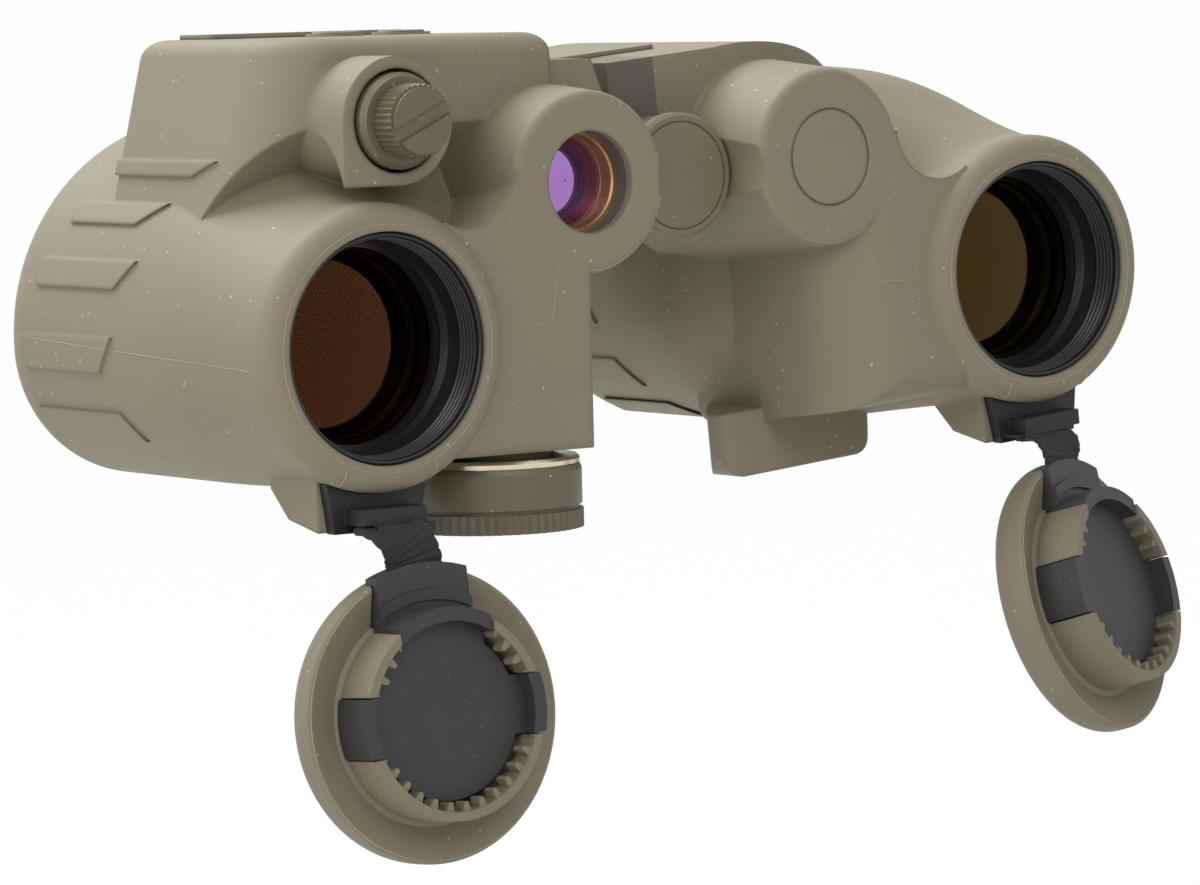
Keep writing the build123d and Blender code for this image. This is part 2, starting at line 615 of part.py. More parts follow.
            extrude(outline(plane, bay), amount=BAY_ROOF - BAY_FLOOR, dir=up, mode=Mode.SUBTRACT)
            for u in BUTTON_US:
                plane = level_plane(side, u, BUTTON_Y, BAY_ROOF - 1)
                guide = oval(plane, BUTTON_LENGTH + 2 * FIT, BUTTON_WIDTH + 2 * FIT)
                extrude(guide, amount=10, dir=up, mode=Mode.SUBTRACT)
    save(chassis, f"{name}_chassis")

    # Plate that closes the prism room
    with BuildPart() as rear_cover:
        add(core.part)
        front_cut = disc(cross_plane(side, COVER_FRONT), FAR)
        extrude(front_cut, amount=-FAR, dir=BACK, mode=Mode.SUBTRACT)
        rod(side, EYE_U, EYE_W, EYE_TUBE_R + FIT, 90, FAR, mode=Mode.SUBTRACT)
    save(rear_cover, f"{name}_rear_cover")

    # Black barrel of the objective with stepped baffles
    with BuildPart() as objective_cell:
        turned(objective, [
            (21.0, CELL_FRONT), (CELL_R, CELL_FRONT + 0.5), (CELL_R, CELL_REAR), (17.8, CELL_REAR),
            (17.8, LENS_REAR), (LENS_R + FIT, LENS_REAR), (LENS_R + FIT, 11.0), (20.4, 11.0),
            (20.4, 6.0), (20.7, 6.0), (20.7, 2.5), (21.0, 2.5),
        ])
    save(objective_cell, f"{name}_objective_cell")

    with BuildPart() as lens_retainer:
        front = LENS_FRONT - 2.1
        turned(objective, [
            (18.4, front), (LENS_R, front), (LENS_R, LENS_FRONT), (LENS_R - 0.2, LENS_FRONT - 0.05),
            (18.4, LENS_FRONT - 0.5),
        ])
    save(lens_retainer, f"{name}_lens_retainer")

    with BuildPart() as front_lens:
        lens(side, OBJECTIVE_U, OBJECTIVE_W, LENS_R, LENS_FRONT, LENS_JOIN, 2.2, 0.0)
    save(front_lens, f"{name}_objective_front_lens")

    with BuildPart() as rear_lens:
        lens(side, OBJECTIVE_U, OBJECTIVE_W, LENS_R, LENS_JOIN, LENS_REAR, 0.0, -1.0)
    save(rear_lens, f"{name}_objective_rear_lens")

    # Erecting prisms on the two sides of their plate
    prism_a_plane = axial_plane(side, a_u, a_w, PRISM_A_ANGLE)
    with BuildPart() as prism_a:
        half = (PRISM_A_SHIFT + PRISM_WIDTH) / 2
        tip = PLATE_REAR + PRISM_A_DEPTH
        flat = half - PRISM_A_DEPTH
        shape = outline(prism_a_plane, [(-half, PLATE_REAR), (half, PLATE_REAR), (flat, tip), (-flat, tip)])
        extrude(shape, amount=PRISM_WIDTH / 2, both=True)
    save(prism_a, f"{name}_prism_a")

    with BuildPart() as prism_b:
        half = (PRISM_B_SHIFT + PRISM_WIDTH) / 2
        tip = PLATE_FRONT - PRISM_B_DEPTH
        flat = half - PRISM_B_DEPTH
        plane = axial_plane(side, b_u, b_w, PRISM_B_ANGLE)
        shape = outline(plane, [(-half, PLATE_FRONT), (half, PLATE_FRONT), (flat, tip), (-flat, tip)])
        extrude(shape, amount=PRISM_WIDTH / 2, both=True)
    save(prism_b, f"{name}_prism_b")

    with BuildPart() as prism_bracket:
        thick = PLATE_REAR - PLATE_FRONT
        extrude(section(side, PLATE_FRONT, 1.0, SKIN + WALL + 0.1), amount=thick, dir=BACK)
        a_end_u = OBJECTIVE_U + PRISM_A_SHIFT * cos(turn_a)
        a_end_w = OBJECTIVE_W + PRISM_A_SHIFT * sin(turn_a)
        for u, w in ((OBJECTIVE_U, OBJECTIVE_W), (a_end_u, a_end_w), (EYE_U, EYE_W)):
            rod(side, u, w, PRISM_WIDTH / 2 - 1, PLATE_FRONT, PLATE_REAR, mode=Mode.SUBTRACT)
        reach = PRISM_WIDTH / 2 + FIT
        wide = reach + CLAMP_THICK
        top = PLATE_REAR + PRISM_A_DEPTH
        clamp = [
            (-wide, PLATE_REAR), (-wide, top + CLAMP_THICK), (wide, top + CLAMP_THICK), (wide, PLATE_REAR),
            (reach, PLATE_REAR), (reach, top), (-reach, top), (-reach, PLATE_REAR),
        ]
        plane = axial_plane(side, a_u, a_w, PRISM_A_ANGLE - 90)
        extrude(outline(plane, clamp), amount=CLAMP_WIDTH / 2, both=True)
    save(prism_bracket, f"{name}_prism_bracket")

    # Eyepiece: fixed tube, focus ring, sliding ocular with its lenses and the rubber eyecup
    with BuildPart() as eyepiece_base:
        rear = HOUSING_REAR - SKIN
        turned(eyepiece, [
            (EYE_BORE_R, 91), (EYE_TUBE_R, 91), (EYE_TUBE_R, rear), (EYE_FLANGE_R, rear),
            (EYE_FLANGE_R, 99), (EYE_TUBE_R, 99), (EYE_TUBE_R, 110), (EYE_BORE_R, 110),
        ])
    save(eyepiece_base, f"{name}_eyepiece_base")

    with BuildPart() as focus_ring:
        grip = knurl(cross_plane(side, 99.5, EYE_U, EYE_W), FOCUS_R, 0.5, FOCUS_TEETH)
        extrude(grip, amount=8.5, dir=BACK)
        rod(side, EYE_U, EYE_W, FOCUS_R - 0.8, 108, 110)
        rod(side, EYE_U, EYE_W, EYE_TUBE_R + FIT, 99, 111, mode=Mode.SUBTRACT)
    save(focus_ring, f"{name}_focus_ring")

    with BuildPart() as ocular_tube:
        turned(eyepiece, [
            (OCULAR_BORE_R, 101), (EYE_BORE_R - FIT, 101), (EYE_BORE_R - FIT, 113.6), (17.5, 113.6),
            (17.5, 124), (11.4, 124), (OCULAR_BORE_R, 123),
        ])
    save(ocular_tube, f"{name}_ocular_tube")

    with BuildPart() as ocular_lenses:
        lens(side, EYE_U, EYE_W, OCULAR_BORE_R, 103, 105, 0.8, 1.6)
        lens(side, EYE_U, EYE_W, OCULAR_BORE_R, 117, 120, 1.8, 1.2)
    save(ocular_lenses, f"{name}_ocular_lenses")

    with BuildPart() as eyecup:
        turned(eyepiece, [
            (17.5, 114), (20.2, 114), (20.6, 118), (19.8, 137), (18.9, 138), (17.2, 138), (16.6, 124),
            (17.5, 124),
        ])
    save(eyecup, f"{name}_eyecup")

    # Clip that holds the cap's strap under the rim
    with BuildPart() as cap_clip:
        half = CLIP_WIDTH / 2
        plane = cross_plane(side, CLIP_FRONT, OBJECTIVE_U, 0)
        shape = [(-half, -50), (half, -50), (half - 2, CLIP_BOTTOM), (2 - half, CLIP_BOTTOM)]
        extrude(outline(plane, shape), amount=CLIP_REAR - CLIP_FRONT, dir=BACK)
        mouth_front = PIVOT_Y + STRAP_THICK / 2 + 0.25 + STRAP_WIDTH / 2 * sin(radians(CAP_REST[side][1]))
        lip_front = max(-0.5, mouth_front + 0.2)
        lip = [(-7, -58), (7, -58), (7, -61), (-7, -61)]
        plane = cross_plane(side, lip_front, OBJECTIVE_U, 0)
        extrude(outline(plane, lip), amount=CLIP_FRONT - lip_front, dir=BACK)
        bend_w = CAP_REST[side][3]
        bend_u = OBJECTIVE_U - cap_drop(side) * sin(radians(CAP_REST[side][2]))
        half = STRAP_WIDTH / 2
        mouth = [(-half, -61), (half, -61), (half, bend_w), (-half, bend_w)]
        plane = cross_plane(side, mouth_front, bend_u, 0)
        extrude(outline(plane, mouth), amount=CLIP_FRONT - mouth_front, dir=BACK)
        rod(side, OBJECTIVE_U, OBJECTIVE_W, RIM_R + 0.1, 0, 20, mode=Mode.SUBTRACT)
    save(cap_clip, f"{name}_cap_clip")

    # Hanging cap: webbing strap, rubber cover with its toothed plug, hard insert with the arm
    with BuildPart() as cap_strap:
        plane = strap_plane(side)
        with BuildSketch(plane) as band:
            with Locations((0, -STRAP_LENGTH / 2)):
                Rectangle(STRAP_WIDTH, STRAP_LENGTH)
        extrude(band.sketch, amount=STRAP_THICK / 2, both=True)
        end_plane = Plane(origin=plane.origin, x_dir=plane.z_dir, z_dir=plane.x_dir)
        extrude(disc(end_plane, STRAP_THICK / 2), amount=STRAP_WIDTH / 2, both=True)
    save(cap_strap, f"{name}_cap_strap")

    arm_end = cap_drop(side) - STRAP_LENGTH - FIT
    with BuildPart() as cap_cover:
        plane = cap_axis_plane(side)
        form = rounded(plane, [
            (0, -CAP_BACK), (CAP_R, -CAP_BACK), (CAP_R, 0), (26.3, 0), (20.5, -2), (19.6, -1.5),
            (PLUG_R, 8), (17.6, 8), (17.2, -1.5), (0, -1.5),
        ], [0, CAP_ROUNDING, 0.8, 0, 0, 0, 0, 0, 0, 0])
        revolve(form, axis=Axis(plane.origin, plane.y_dir))
        for tooth in range(CAP_TEETH):
            angle = (tooth + 0.5) * 360 / CAP_TEETH
            plane = cap_plane(side, 4.4, angle)
            wedge = outline(plane, [(15.8, -0.4), (17.8, -0.9), (17.8, 0.9), (15.8, 0.4)])
            extrude(wedge, amount=3.2, dir=plane.z_dir)
        for angle, width in ((0, 11.6), (180, 11.6), (90, ARM_WIDTH + 0.6)):
            cap_segment(side, angle, width, 15, 20.5, -1.5, 9, mode=Mode.SUBTRACT)
        cap_segment(side, 90, ARM_WIDTH + 0.6, 20.2, CAP_R + 4, -2.4, 3, mode=Mode.SUBTRACT)
    save(cap_cover, f"{name}_cap_cover")

    with BuildPart() as cap_insert:
        turned(cap_axis_plane(side), [(0, -1.5), (5, -1.5), (5, 2.6), (15.6, 2.6), (15.6, 4.2), (0, 4.2)])
        for angle, width in ((0, 11), (180, 11), (90, ARM_WIDTH)):
            cap_segment(side, angle, width, 14, 17.6, 2.6, 4.2)
            cap_segment(side, angle, width, 17.4, 20, -1.5, 7.6)
        cap_segment(side, 90, ARM_WIDTH, 19, 20.4, -1.5, 1.2)
        cap_segment(side, 90, ARM_WIDTH, 20.2, arm_end, -2.4, 1.2)
        cap_segment(side, 90, ARM_WIDTH, 21.4, 23.4, 1.0, 1.8)
    save(cap_insert, f"{name}_cap_insert")

# Hinge pin, its end discs and the thrust washers
hinge = axial_plane(LEFT, 0, 0)
with BuildPart() as hinge_pin:
    rod(LEFT, 0, 0, PIN_R, DISC_REAR, REAR_KNUCKLE[1] + 0.3)
save(hinge_pin, "hinge_pin")

with BuildPart() as hinge_front_cap:
    turned(hinge, [
        (0, DISC_FRONT), (10.2, DISC_FRONT), (10.2, DISC_FRONT + 0.35), (10.55, DISC_FRONT + 0.35),
        (10.55, DISC_FRONT), (DISC_R - 0.6, DISC_FRONT), (DISC_R, DISC_FRONT + 0.6), (DISC_R, DISC_REAR),
        (0, DISC_REAR),
    ])
save(hinge_front_cap, "hinge_front_cap")

with BuildPart() as hinge_rear_cap:
    start = REAR_KNUCKLE[1] + 0.3
    turned(hinge, [(0, start), (11, start), (11, start + 2.6), (10, start + 3.6), (0, start + 3.6)])
save(hinge_rear_cap, "hinge_rear_cap")

with BuildPart() as hinge_washers:
    for gap in (FRONT_KNUCKLE[1], MIDDLE_KNUCKLE[1]):
        start, end = gap + FIT, gap + 0.5 - FIT
        turned(hinge, [(PIN_R, start), (HINGE_R - 0.5, start), (HINGE_R - 0.5, end), (PIN_R, end)])
save(hinge_washers, "hinge_washers")

# Left half: threaded brass bush of the tripod socket and the thin plate on the deck
with BuildPart() as tripod_bush:
    plane = upright_plane(LEFT, SOCKET_U, SOCKET_Y)
    top = FOOT_BOTTOM + SOCKET_DEPTH
    turned(plane, [
        (SOCKET_R, FOOT_BOTTOM), (BUSH_R, FOOT_BOTTOM), (BUSH_R, top + 1), (0, top + 1), (0, top),
        (SOCKET_R, top),
    ])
save(tripod_bush, "tripod_bush")

with BuildPart() as left_top_plate:
    front, rear = DECK_FRONT + 18, DECK_REAR - 2
    shape = [(DECK_END + 2, front), (18, front), (18, rear), (DECK_END + 2, rear)]
    extrude(rounded(level_plane(LEFT, 0, 0, DECK_W), shape, [1.5] * 4), amount=PLATE_RISE, dir=(0, 0, 1))
save(left_top_plate, "left_top_plate")

# Right half: laser lens in its ring, and the module behind it
laser = axial_plane(RIGHT, TUBE_U, 0)
tube_bore = TUBE_R - SKIN - WALL
up = half_axes(RIGHT)[1]
with BuildPart() as laser_lens_ring:
    turned(laser, [
        (8.9, WINDOW_REAR), (tube_bore - FIT, WINDOW_REAR), (tube_bore - FIT, 17), (8.0, 17),
        (8.0, 15), (8.6, 15), (8.6, 11.5), (8.9, 11),
    ])
save(laser_lens_ring, "laser_lens_ring")

with BuildPart() as laser_lens:
    lens(RIGHT, TUBE_U, 0, 8.6 - FIT, 12, 15, 1.0, 0.0)
save(laser_lens, "laser_lens")

with BuildPart() as laser_module:
    turned(laser, [
        (0, 40), (0, 33), (8.0, 17), (tube_bore - FIT, 17), (tube_bore - FIT, 36), (9, 40),
    ])
save(laser_module, "laser_module")

# Circuit board on the floor of its bay with the two button switches
with BuildPart() as circuit_board:
    plane = level_plane(RIGHT, 0, 0, BAY_FLOOR)
    board = [
        (-BAY_OUT + 1, BAY_FRONT + 1), (-BAY_IN - 1, BAY_FRONT + 1),
        (-BAY_IN - 1, BAY_BACK - 1), (-BAY_OUT + 1, BAY_BACK - 1),
    ]
    extrude(outline(plane, board), amount=1.6, dir=up)
    for u in BUTTON_US:
        with BuildSketch(level_plane(RIGHT, u, BUTTON_Y, BAY_FLOOR + 1.6)) as switch:
            Rectangle(6, 6)
        extrude(switch.sketch, amount=2.4, dir=up)
save(circuit_board, "circuit_board")

# Display in the right eyepiece's field stop
with BuildPart() as display_module:
    turned(axial_plane(RIGHT, EYE_U, EYE_W), [
        (9, 91), (EYE_BORE_R, 91), (EYE_BORE_R, 94), (0, 94), (0, 92.5), (9, 92.5),
    ])
save(display_module, "display_module")

for u, name in zip(BUTTON_US, ("range_button", "mode_button")):
    with BuildPart() as button:
        plane = level_plane(RIGHT, u, BUTTON_Y, BAY_ROOF - 1.4)
        extrude(oval(plane, BUTTON_LENGTH + 1.2, BUTTON_WIDTH + 1.2), amount=1.2, dir=up)
        body = oval(level_plane(RIGHT, u, BUTTON_Y, BAY_ROOF - 0.2), BUTTON_LENGTH, BUTTON_WIDTH)
        extrude(body, amount=BOX_W + BUTTON_RISE - BAY_ROOF + 0.2, dir=up)
        step = oval(level_plane(RIGHT, u, BUTTON_Y, BOX_W), BUTTON_LENGTH - 2.4, BUTTON_WIDTH - 2.4)
        extrude(step, amount=BUTTON_RISE + BUTTON_STEP, dir=up)
        top_face = button.faces().sort_by_distance(spot(RIGHT, u, BUTTON_Y, FAR))[0]
        fillet(top_face.edges(), 0.3)
    save(button, name)

with BuildPart() as right_top_plate:
    plane = level_plane(RIGHT, 0, 0, BOX_W)
    shape = [(-82, 52), (-37, 52), (-37, 63), (-82, 63)]
    extrude(rounded(plane, shape, [1.5] * 4), amount=PLATE_RISE, dir=up)
save(right_top_plate, "right_top_plate")

# Battery, its contact, the bare collar and the screw cap under the web
battery_axis = upright_plane(RIGHT, BATTERY_U, BATTERY_Y)
with BuildPart() as battery:
    turned(battery_axis, [
        (0, BATTERY_BOTTOM), (BATTERY_R, BATTERY_BOTTOM), (BATTERY_R, BATTERY_TOP - 1.5),
        (3.2, BATTERY_TOP - 1.5), (3.2, BATTERY_TOP), (0, BATTERY_TOP),
    ])
save(battery, "battery")

with BuildPart() as battery_contact:
    upright_rod(RIGHT, BATTERY_U, BATTERY_Y, 7.5, BATTERY_TOP, BATTERY_TOP + 1.1)
save(battery_contact, "battery_contact")

with BuildPart() as battery_collar:
    turned(battery_axis, [
        (BATTERY_R + 0.2, COLLAR_TOP), (COLLAR_R - 0.5, COLLAR_TOP), (COLLAR_R, COLLAR_TOP - 0.6),
        (COLLAR_R, COLLAR_TOP - COLLAR_HEIGHT), (16.0, COLLAR_TOP - COLLAR_HEIGHT), (16.0, -60),
        (14.4, -60),
        (14.4, COLLAR_TOP - 3.2), (BATTERY_R + 0.2, COLLAR_TOP - 3.2),
    ])
save(battery_collar, "battery_collar")

with BuildPart() as battery_cap:
    ring_top = BATTERY_CAP_BOTTOM + 3.6
    turned(battery_axis, [
        (0, BATTERY_CAP_BOTTOM + 1), (15.2, BATTERY_CAP_BOTTOM + 1), (16.4, ring_top),
        (16.4, ring_top + 0.9), (BATTERY_CAP_R, ring_top + 0.9), (BATTERY_CAP_R, BATTERY_CAP_TOP - 1),
        (BATTERY_CAP_R - 0.4, BATTERY_CAP_TOP),
        (16.0 + FIT, BATTERY_CAP_TOP), (16.0 + FIT, -60.4), (6.0, -60.4), (6.0, BATTERY_BOTTOM - 0.1),
        (0, BATTERY_BOTTOM - 0.1),
    ])
    plane = level_plane(RIGHT, BATTERY_U, BATTERY_Y, BATTERY_CAP_BOTTOM)
    extrude(knurl(plane, BATTERY_CAP_R + 0.2, 0.5, CAP_KNURL_TEETH), amount=3.6, dir=up)
save(battery_cap, "battery_cap")

# Screw cap of the front port: knurled knob with a coin slot
with BuildPart() as port_cap:
    turned(axial_plane(RIGHT, PORT_U, PORT_W), [
        (0, 3), (8.2, 3), (9.0, 4.2), (9.0, PORT_RECESS_REAR - 0.3), (PORT_SHAFT_R, PORT_RECESS_REAR - 0.3),
        (PORT_SHAFT_R, 24.5), (0, 24.5),
    ])
    plane = cross_plane(RIGHT, KNOB_FRONT + 0.8, PORT_U, PORT_W)
    extrude(knurl(plane, KNOB_R, 0.5, KNOB_TEETH), amount=3 - KNOB_FRONT, dir=BACK)
    rod(RIGHT, PORT_U, PORT_W, KNOB_R - 0.7, KNOB_FRONT, 3)
    plane = cross_plane(RIGHT, KNOB_FRONT, PORT_U, PORT_W, turn=COIN_TURN)
    with BuildSketch(plane) as slot:
        Rectangle(3 * KNOB_R, COIN_SLOT)
    extrude(slot.sketch, amount=COIN_DEPTH, dir=BACK, mode=Mode.SUBTRACT)
save(port_cap, "port_cap")
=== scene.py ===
import bmesh
import bpy
import numpy as np
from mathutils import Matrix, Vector
from mathutils.bvhtree import BVHTree


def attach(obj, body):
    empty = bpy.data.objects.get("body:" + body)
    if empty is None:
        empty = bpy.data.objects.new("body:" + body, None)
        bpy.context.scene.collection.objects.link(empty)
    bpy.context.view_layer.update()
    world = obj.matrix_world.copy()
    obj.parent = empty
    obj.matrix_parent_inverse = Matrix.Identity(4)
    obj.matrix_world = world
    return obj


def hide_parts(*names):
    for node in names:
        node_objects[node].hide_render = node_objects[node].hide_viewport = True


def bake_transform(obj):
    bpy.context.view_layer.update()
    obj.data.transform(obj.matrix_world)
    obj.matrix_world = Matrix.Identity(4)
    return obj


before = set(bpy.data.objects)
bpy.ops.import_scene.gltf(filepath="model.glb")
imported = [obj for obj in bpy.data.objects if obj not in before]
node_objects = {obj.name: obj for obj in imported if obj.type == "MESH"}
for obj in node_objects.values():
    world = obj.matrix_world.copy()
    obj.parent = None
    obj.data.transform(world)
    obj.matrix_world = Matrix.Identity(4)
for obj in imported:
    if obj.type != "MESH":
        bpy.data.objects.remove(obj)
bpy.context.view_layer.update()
scene = bpy.context.scene
scene.view_settings.view_transform = "Standard"

# Studio: a long lens from the front and a little above, a white sweep under the object,
# one large soft light over it, and two weaker ones on its right side and in front.
camera_data = bpy.data.cameras.new("camera")
camera_data.sensor_width = 36.0
camera_data.lens = 168.726
camera_data.clip_end = 60.0
camera = bpy.data.objects.new("camera", camera_data)
camera.location = (-0.66821, -0.90167, 0.15800)
camera.rotation_euler = np.radians((82.3287, 5.6192, -35.5606))
scene.collection.objects.link(camera)
scene.camera = camera


def feed(tree, socket, value):
    """Set a shader socket to a value, or link it when it is given another node's output."""
    if isinstance(value, bpy.types.NodeSocket):
        tree.links.new(value, socket)
    else:
        socket.default_value = value


def add_node(tree, kind, **sockets):
    """Add a shader node and feed its named sockets."""
    made = tree.nodes.new(kind)
    for name, value in sockets.items():
        feed(tree, made.inputs[name.replace("_", " ")], value)
    return made


def add_math(tree, operation, *values):
    """One sum of values or sockets."""
    made = tree.nodes.new("ShaderNodeMath")
    made.operation = operation
    for socket, value in zip(made.inputs, values):
        feed(tree, socket, value)
    return made.outputs[0]


def add_seen(tree):
    """1 where the surroundings are seen, also in a mirror or through glass, and 0 for their light."""
    rays = tree.nodes.new("ShaderNodeLightPath").outputs
    direct = add_math(tree, "MAXIMUM", rays["Is Camera Ray"], rays["Is Glossy Ray"])
    return add_math(tree, "MAXIMUM", direct, rays["Is Transmission Ray"])


def add_light(name, place, aim, size, power):
    """Square soft light at a place, turned to a point."""
    data = bpy.data.lights.new(name, "AREA")
    data.size = size
    data.energy = power
    lamp = bpy.data.objects.new(name, data)
    lamp.location = place
    lamp.rotation_euler = (Vector(aim) - Vector(place)).to_track_quat("-Z", "Y").to_euler()
    scene.collection.objects.link(lamp)


SUBJECT = (-0.035, 0.0, 0.04)
add_light("top_light", (-0.25, 0.5, 1.1), SUBJECT, size=1.0, power=17.0)
add_light("side_light", (-1.25, -0.3, 0.6), SUBJECT, size=0.9, power=5.6)
add_light("front_light", (-0.35, -1.3, 0.95), SUBJECT, size=0.8, power=7.2)

WHITE = (1, 1, 1, 1)
SKY_LIGHT = 0.32
world = bpy.data.worlds.new("studio")
scene.world = world
world.use_nodes = True
tree = world.node_tree
tree.nodes.clear()
strength = add_math(tree, "MULTIPLY_ADD", add_seen(tree), 1 - SKY_LIGHT, SKY_LIGHT)
sky = add_node(tree, "ShaderNodeBackground", Color=WHITE, Strength=strength)
add_node(tree, "ShaderNodeOutputWorld", Surface=sky.outputs[0])

FLOOR_SIZE, FLOOR_DROP, FLOOR_GLOW = 14.0, 0.16, 0.98
edge = FLOOR_SIZE / 2
corners = [(x, y, -FLOOR_DROP) for x, y in ((-edge, -edge), (edge, -edge), (edge, edge), (-edge, edge))]
floor_mesh = bpy.data.meshes.new("floor")
floor_mesh.from_pydata(corners, [], [(0, 1, 2, 3)])
floor = bpy.data.objects.new("floor", floor_mesh)
scene.collection.objects.link(floor)
paper = bpy.data.materials.new("white_paper")
paper.use_nodes = True
tree = paper.node_tree
tree.nodes.clear()
matt = add_node(tree, "ShaderNodeBsdfDiffuse", Color=(0.8, 0.8, 0.8, 1))
glow = add_node(tree, "ShaderNodeEmission", Color=WHITE, Strength=1.0)
mixed = add_node(tree, "ShaderNodeMixShader", Fac=add_math(tree, "MULTIPLY", add_seen(tree), FLOOR_GLOW))
tree.links.new(matt.outputs[0], mixed.inputs[1])
tree.links.new(glow.outputs[0], mixed.inputs[2])
add_node(tree, "ShaderNodeOutputMaterial", Surface=mixed.outputs[0])
floor_mesh.materials.append(paper)


# Rubber armour: one moulded olive skin on each half, matt and finely grained, with pale dust in
# the grain. It is moulded round the cast body, and the mould leaves thin flash where it parts.
def start_group(name, inputs, outputs):
    """Empty shader group with named float inputs and named outputs."""
    group = bpy.data.node_groups.new(name, "ShaderNodeTree")
    for label, value in inputs:
        socket = group.interface.new_socket(label, in_out="INPUT", socket_type="NodeSocketFloat")
        socket.default_value = value
    for label in outputs:
        group.interface.new_socket(label, in_out="OUTPUT", socket_type="NodeSocketFloat")
    return group, group.nodes.new("NodeGroupInput"), group.nodes.new("NodeGroupOutput")


WAVE_SHARE = 0.6
grain_group, taken, given = start_group("moulded_grain", [("Pits per metre", 2600.0)], ["Height", "Cloud"])
where = grain_group.nodes.new("ShaderNodeTexCoord").outputs["Object"]
pits_scale = taken.outputs["Pits per metre"]
pits = add_node(grain_group, "ShaderNodeTexNoise", Vector=where, Scale=pits_scale, Detail=3.0, Roughness=0.6)
waves = add_node(grain_group, "ShaderNodeTexNoise", Vector=where, Scale=90.0, Detail=2.0)
cloud = add_node(grain_group, "ShaderNodeTexNoise", Vector=where, Scale=28.0, Detail=4.0, Roughness=0.55)
height = add_math(grain_group, "MULTIPLY_ADD", waves.outputs[0], WAVE_SHARE, pits.outputs[0])
grain_group.links.new(height, given.inputs["Height"])
grain_group.links.new(cloud.outputs[0], given.inputs["Cloud"])

BARE_CELLS = 0.72
SPECK_SHIFT = 0.0004
dust_group, taken, given = start_group("settled_dust", [("Cells per metre", 300.0), ("Size", 0.06)], ["Mask"])
where = dust_group.nodes.new("ShaderNodeTexCoord").outputs["Object"]
wander = add_node(dust_group, "ShaderNodeTexNoise", Vector=where, Scale=1800.0, Detail=1.0)
shifted = dust_group.nodes.new("ShaderNodeVectorMath")
shifted.operation = "MULTIPLY_ADD"
for socket, value in zip(shifted.inputs, (wander.outputs["Color"], (SPECK_SHIFT,) * 3, where)):
    feed(dust_group, socket, value)
cells_scale = taken.outputs["Cells per metre"]
cells = add_node(dust_group, "ShaderNodeTexVoronoi", Vector=shifted.outputs[0], Scale=cells_scale)
channels = add_node(dust_group, "ShaderNodeSeparateColor", Color=cells.outputs["Color"])
chosen = add_math(dust_group, "SUBTRACT", channels.outputs[0], BARE_CELLS)
chosen = add_math(dust_group, "MAXIMUM", chosen, 0.0)
reach = add_math(dust_group, "MULTIPLY", chosen, taken.outputs["Size"])
mask = add_math(dust_group, "LESS_THAN", cells.outputs["Distance"], reach)
dust_group.links.new(mask, given.inputs["Mask"])


def mix_colour(tree, mask, low, high):
    """Colour between two, by a mask: each may be a value or a socket."""
    made = tree.nodes.new("ShaderNodeMix")
    made.data_type = "RGBA"
    for socket, value in zip((made.inputs[0], made.inputs[6], made.inputs[7]), (mask, low, high)):
        feed(tree, socket, (*value, 1.0) if isinstance(value, tuple) else value)
    return made.outputs[2]


def spread(tree, value, low, high):
    """A value between 0 and 1 laid between two limits."""
    made = add_node(tree, "ShaderNodeMapRange", Value=value, To_Min=low, To_Max=high)
    return made.outputs[0]


def start_finish(name):
    """New material with a bare Principled shader, its node tree and that shader."""
    material = bpy.data.materials.new(name)
    material.use_nodes = True
    tree = material.node_tree
    return material, tree, tree.nodes["Principled BSDF"]


def use_group(tree, group, **values):
    """Place a shared effect in a material with its own values."""
    made = tree.nodes.new("ShaderNodeGroup")
    made.node_tree = group
    for name, value in values.items():
        made.inputs[name.replace("_", " ")].default_value = value
    return made


DUST_COVER = 0.75
ROUGH_SPREAD = 0.05
PIT_DEPTH = 0.0002
EDGE_SAMPLES = 8


def grained_finish(name, low, high, rough, pits, relief, dust=0.0, dust_colour=(0.55, 0.5, 0.4), cells=580.0,
                   specular=0.4, metallic=0.0, soften=0.0):
    """Moulded finish: cloudy colour, fine pits as bump, pale dust specks, and edges rounded by a radius."""
    material, tree, shader = start_finish(name)
    grain = use_group(tree, grain_group, Pits_per_metre=pits)
    colour = mix_colour(tree, spread(tree, grain.outputs["Cloud"], 0.0, 1.0), low, high)
    if dust:
        specks = use_group(tree, dust_group, Cells_per_metre=cells, Size=dust)
        cover = add_math(tree, "MULTIPLY", specks.outputs["Mask"], DUST_COVER)
        colour = mix_colour(tree, cover, colour, dust_colour)
    polish = spread(tree, grain.outputs["Cloud"], rough - ROUGH_SPREAD, rough + ROUGH_SPREAD)
    height = grain.outputs["Height"]
    bump = add_node(tree, "ShaderNodeBump", Strength=relief, Distance=PIT_DEPTH, Height=height)
    if soften:
        rounded = add_node(tree, "ShaderNodeBevel", Radius=soften)
        rounded.samples = EDGE_SAMPLES
        tree.links.new(rounded.outputs[0], bump.inputs["Normal"])
    tree.links.new(colour, shader.inputs["Base Color"])
    tree.links.new(polish, shader.inputs["Roughness"])
    tree.links.new(bump.outputs[0], shader.inputs["Normal"])
    shader.inputs["Specular IOR Level"].default_value = specular
    shader.inputs["Metallic"].default_value = metallic
    return material


def dress(material, *names):
    """Give a material to whole CAD nodes."""
    for name in names:
        node_objects[name].data.materials.clear()
        node_objects[name].data.materials.append(material)


def both(*names):
    """The same pieces of the left and the right half."""
    return [f"{side}_{name}" for side in ("left", "right") for name in names]


armour_rubber = grained_finish(
    "armour_rubber", (0.22, 0.196, 0.136), (0.248, 0.222, 0.156), rough=0.6, pits=2600.0, relief=0.18,
    dust=0.6, soften=0.0012,
)
dress(armour_rubber, *both("armour"))

